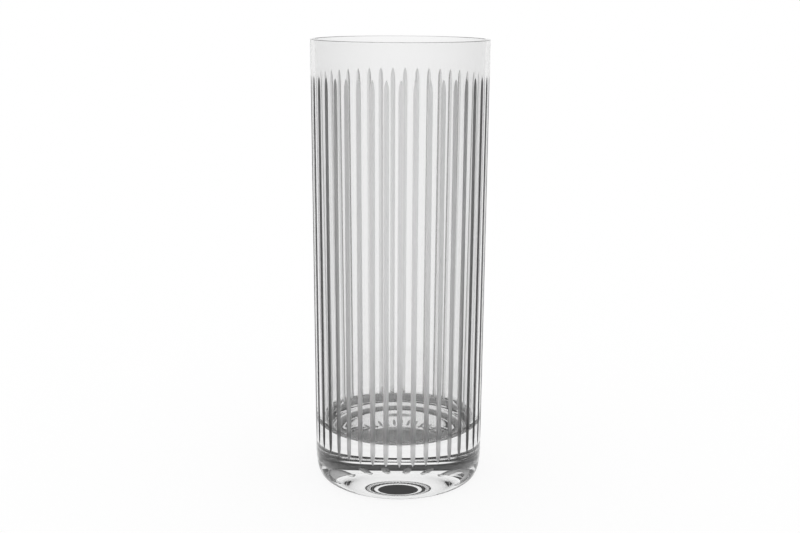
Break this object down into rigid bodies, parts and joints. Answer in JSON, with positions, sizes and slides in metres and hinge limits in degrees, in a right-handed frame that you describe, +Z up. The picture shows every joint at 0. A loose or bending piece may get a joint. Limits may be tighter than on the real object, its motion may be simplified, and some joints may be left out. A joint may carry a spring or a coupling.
{
  "type": "highball glass",
  "caption": "Tall straight highball glass of clear glass with a thin wall, a thick solid foot and frosted mitre flutes cut upright round its side.",
  "frame": {"origin": "middle of the foot, on the table that the glass stands on", "axes": "+Z up along the glass's own axis, out of the mouth; -Y towards the viewer, through the middle of one flute"},
  "size_m": [0.06, 0.06, 0.1529],
  "materials": {
    "glass": "clear and polished, with fine-ground frosted flutes"
  },
  "bodies": {
    "root": {"tumbler": "glass"}
  },
  "joints": []
}
